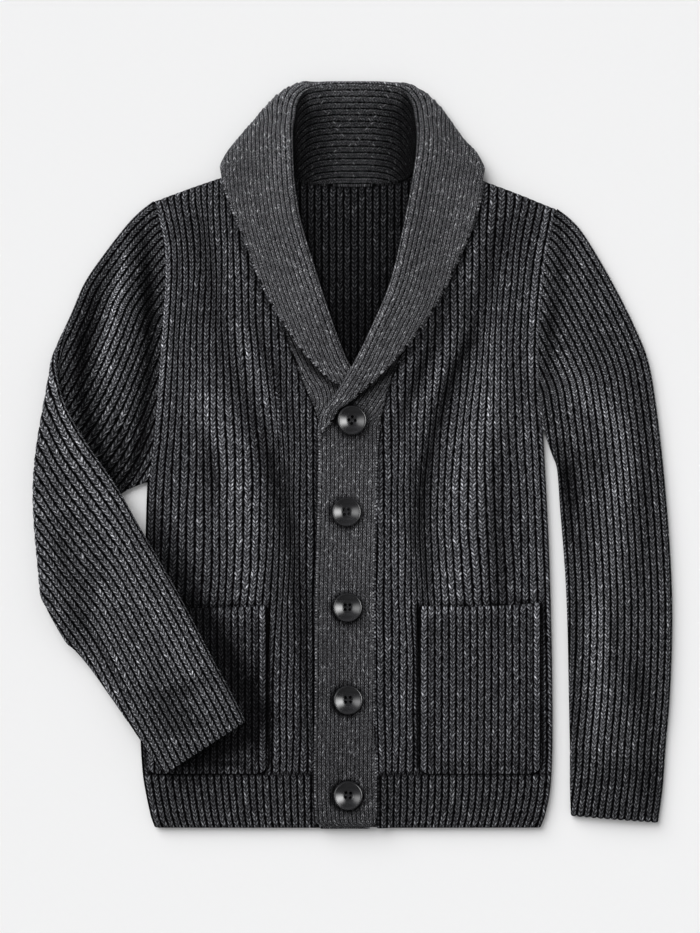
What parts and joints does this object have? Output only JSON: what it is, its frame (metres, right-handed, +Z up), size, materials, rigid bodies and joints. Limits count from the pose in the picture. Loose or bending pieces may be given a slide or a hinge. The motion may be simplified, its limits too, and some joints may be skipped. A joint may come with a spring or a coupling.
{
  "type": "shawl collar cardigan",
  "caption": "Chunky ribbed shawl collar cardigan, buttoned and laid flat face up, with one sleeve folded over a patch pocket.",
  "frame": {"origin": "centre of the bounding box seen from above, on the surface the cardigan lies on", "axes": "+Z up out of the cloth's front face, +Y from the hem to the collar, +X towards the wearer's left"},
  "size_m": [0.6593, 0.772, 0.0246],
  "materials": {
    "body_rib": "marled charcoal wool, deep rib",
    "edge_rib": "marled charcoal wool, close rib",
    "band_rib": "marled charcoal wool, flatter close rib",
    "button": "polished dark resin",
    "button_thread": "dark sewing thread"
  },
  "bodies": {
    "root": {"back_panel": "body_rib", "front_right": "body_rib", "front_left": "body_rib", "hem_back": "edge_rib", "hem_right": "edge_rib", "hem_left": "edge_rib", "pocket_right": "body_rib", "pocket_left": "body_rib", "sleeve_right": "body_rib", "cuff_right": "edge_rib", "sleeve_left": "body_rib", "cuff_left": "edge_rib", "band_right": "band_rib", "band_left": "band_rib", "button_1": "button", "button_2": "button", "button_3": "button", "button_4": "button", "button_5": "button", "thread_1": "button_thread", "thread_2": "button_thread", "thread_3": "button_thread", "thread_4": "button_thread", "thread_5": "button_thread"}
  },
  "joints": []
}
